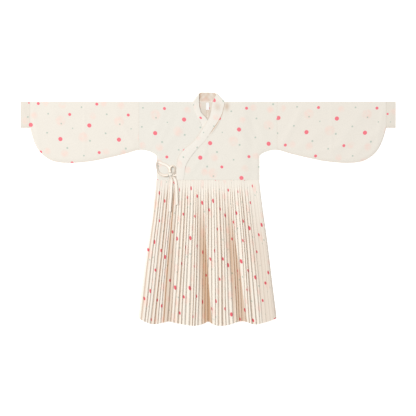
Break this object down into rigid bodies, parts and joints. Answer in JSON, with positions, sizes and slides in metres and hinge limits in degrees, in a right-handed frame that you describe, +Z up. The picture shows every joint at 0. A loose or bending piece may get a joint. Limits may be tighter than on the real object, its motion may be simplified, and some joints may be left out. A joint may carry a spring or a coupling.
{
  "type": "ming-style long shirt",
  "caption": "Long cross-collared shirt with curved full sleeves and a finely pleated skirt, laid flat, with a side bow and a dotted print.",
  "frame": {"origin": "on the ground, under the middle of the laid-out garment's outline", "axes": "+X towards the wearer's left sleeve, +Y towards the collar, +Z up out of the front"},
  "size_m": [1.875, 1.1658, 0.0269],
  "materials": {
    "printed_cloth": "matt ivory plain weave printed with scattered pink and grey-green dots",
    "cuff_cloth": "matt ivory plain weave, doubled, with topstitching",
    "band_cloth": "matt ivory plain weave, doubled, with the same print",
    "pleated_cloth": "matt ivory plain weave in fine pressed pleats, with the same print",
    "tie_tape": "matt ivory self-cloth tape with stitched edges",
    "label_tape": "plain white woven tab"
  },
  "bodies": {
    "root": {"body_right": "printed_cloth", "body_left": "printed_cloth", "front_overlap": "printed_cloth", "sleeve_right": "printed_cloth", "sleeve_left": "printed_cloth", "cuff_right": "cuff_cloth", "cuff_left": "cuff_cloth", "collar_band": "band_cloth", "skirt_back": "pleated_cloth", "skirt_inner_front": "pleated_cloth", "skirt_outer_front": "pleated_cloth", "tie_root": "tie_tape", "tie_knot": "tie_tape", "tie_loop_large": "tie_tape", "tie_loop_small": "tie_tape", "tie_tail_long": "tie_tape", "tie_tail_short": "tie_tape", "neck_label": "label_tape"}
  },
  "joints": []
}
